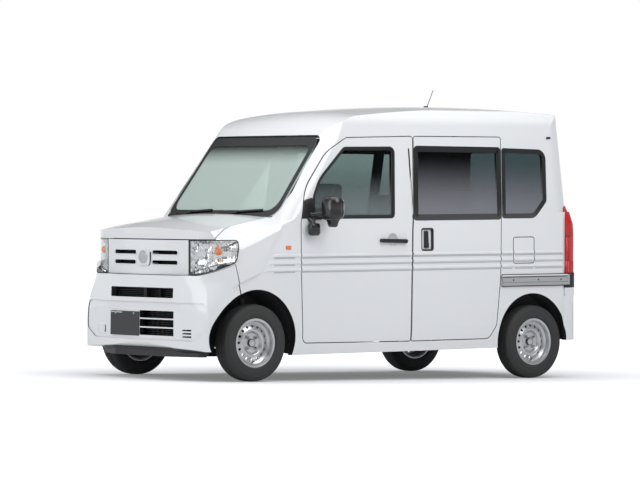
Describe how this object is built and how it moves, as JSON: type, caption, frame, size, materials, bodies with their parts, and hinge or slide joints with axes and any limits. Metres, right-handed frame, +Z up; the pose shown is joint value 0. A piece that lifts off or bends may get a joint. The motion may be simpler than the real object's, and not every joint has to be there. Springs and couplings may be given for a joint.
{
  "type": "kei cargo van",
  "caption": "Small tall box van with sliding side doors, a top-hung tailgate, a short bonnet and steel wheels; doors, tailgate, bonnet, fuel door, steering and wheels move.",
  "frame": {"origin": "on the ground under the middle of the bounding box", "axes": "+X towards the nose, +Y to the van's left, +Z up"},
  "size_m": [3.3977, 1.847, 2.0609],
  "materials": {
    "black_plastic": "satin",
    "body_white": "gloss",
    "clear_glass": "clear",
    "dark_glass": "privacy tint",
    "floor_metal": "matte",
    "inner_grey": "matte",
    "iron": "matte",
    "lamp_clear": "clear lens",
    "lamp_red": "gloss",
    "plate_grey": "satin",
    "rail_metal": "satin",
    "seat_cloth": "woven",
    "steel_silver": "satin",
    "trim_white": "gloss",
    "tyre_rubber": "matte"
  },
  "bodies": {
    "body": {"floor_pan": "floor_metal", "side_panel_left": "body_white", "side_panel_right": "body_white", "roof_panel": "body_white", "front_fenders": "body_white", "front_bumper": "trim_white", "grille_panel": "trim_white", "headlamps": "lamp_clear", "number_plate_blank": "plate_grey", "under_tray": "black_plastic", "engine_block": "iron", "front_subframe": "iron", "cowl_panel": "black_plastic", "dashboard": "inner_grey", "steering_wheel": "black_plastic", "windshield": "clear_glass", "driver_seat": "seat_cloth", "passenger_seat": "seat_cloth", "rear_seat": "seat_cloth", "sliding_door_left": "body_white", "sliding_door_right": "body_white", "side_glass_left": "dark_glass", "side_glass_right": "dark_glass", "slide_rails": "rail_metal", "rear_bumper": "trim_white", "tail_lamps": "lamp_red", "rear_axle": "iron", "roof_antenna": "black_plastic", "wipers": "black_plastic", "interior_mirror": "black_plastic", "radiator": "black_plastic", "exhaust": "iron", "fuel_tank": "black_plastic"},
    "front_door_left": {"front_door_left": "body_white", "front_door_glass_left": "clear_glass", "door_mirror_left": "black_plastic", "door_handle_left": "black_plastic"},
    "front_door_right": {"front_door_right": "body_white", "front_door_glass_right": "clear_glass", "door_mirror_right": "black_plastic", "door_handle_right": "black_plastic"},
    "tailgate": {"tailgate": "body_white", "tailgate_glass": "dark_glass"},
    "bonnet": {"bonnet": "body_white"},
    "fuel_door": {"fuel_door": "body_white"},
    "knuckle_left": {"knuckle_left": "iron"},
    "knuckle_right": {"knuckle_right": "iron"},
    "wheel_front_left": {"wheel_front_left": "steel_silver", "tyre_front_left": "tyre_rubber"},
    "wheel_front_right": {"wheel_front_right": "steel_silver", "tyre_front_right": "tyre_rubber"},
    "wheel_rear_left": {"wheel_rear_left": "steel_silver", "tyre_rear_left": "tyre_rubber"},
    "wheel_rear_right": {"wheel_rear_right": "steel_silver", "tyre_rear_right": "tyre_rubber"}
  },
  "joints": [
    {"name": "front_door_left_hinge", "type": "hinge", "parent": "body", "child": "front_door_left", "pos_m": [0.89238, 0.726, 0.69039], "axis": [-0.022, 0, -0.9998], "range_deg": [0, 68]},
    {"name": "front_door_right_hinge", "type": "hinge", "parent": "body", "child": "front_door_right", "pos_m": [0.89238, -0.726, 0.69039], "axis": [0.022, 0, 0.9998], "range_deg": [0, 68]},
    {"name": "tailgate_hinge", "type": "hinge", "parent": "body", "child": "tailgate", "pos_m": [-1.62261, 0, 1.80997], "axis": [0, 1, 0], "range_deg": [0, 85]},
    {"name": "bonnet_hinge", "type": "hinge", "parent": "body", "child": "bonnet", "pos_m": [1.04824, 0, 1.13707], "axis": [0, -1, 0], "range_deg": [0, 50]},
    {"name": "fuel_door_hinge", "type": "hinge", "parent": "body", "child": "fuel_door", "pos_m": [-1.03919, 0.735, 0.91292], "axis": [-0.022, 0, -0.9998], "range_deg": [0, 90]},
    {"name": "steer_left", "type": "hinge", "parent": "body", "child": "knuckle_left", "pos_m": [1.2532, 0.552, 0.262], "axis": [0, 0, 1], "range_deg": [-35, 35]},
    {"name": "steer_right", "type": "hinge", "parent": "body", "child": "knuckle_right", "pos_m": [1.2532, -0.552, 0.262], "axis": [0, 0, 1], "range_deg": [-35, 35]},
    {"name": "wheel_front_left_spin", "type": "hinge", "parent": "knuckle_left", "child": "wheel_front_left", "pos_m": [1.2532, 0.655, 0.262], "axis": [0, 1, 0], "continuous": true},
    {"name": "wheel_front_right_spin", "type": "hinge", "parent": "knuckle_right", "child": "wheel_front_right", "pos_m": [1.2532, -0.655, 0.262], "axis": [0, 1, 0], "continuous": true},
    {"name": "wheel_rear_left_spin", "type": "hinge", "parent": "body", "child": "wheel_rear_left", "pos_m": [-1.2668, 0.655, 0.262], "axis": [0, 1, 0], "continuous": true},
    {"name": "wheel_rear_right_spin", "type": "hinge", "parent": "body", "child": "wheel_rear_right", "pos_m": [-1.2668, -0.655, 0.262], "axis": [0, 1, 0], "continuous": true}
  ],
  "couplings": [
    {"joint": "steer_right", "follows": "steer_left", "ratio": 1}
  ]
}
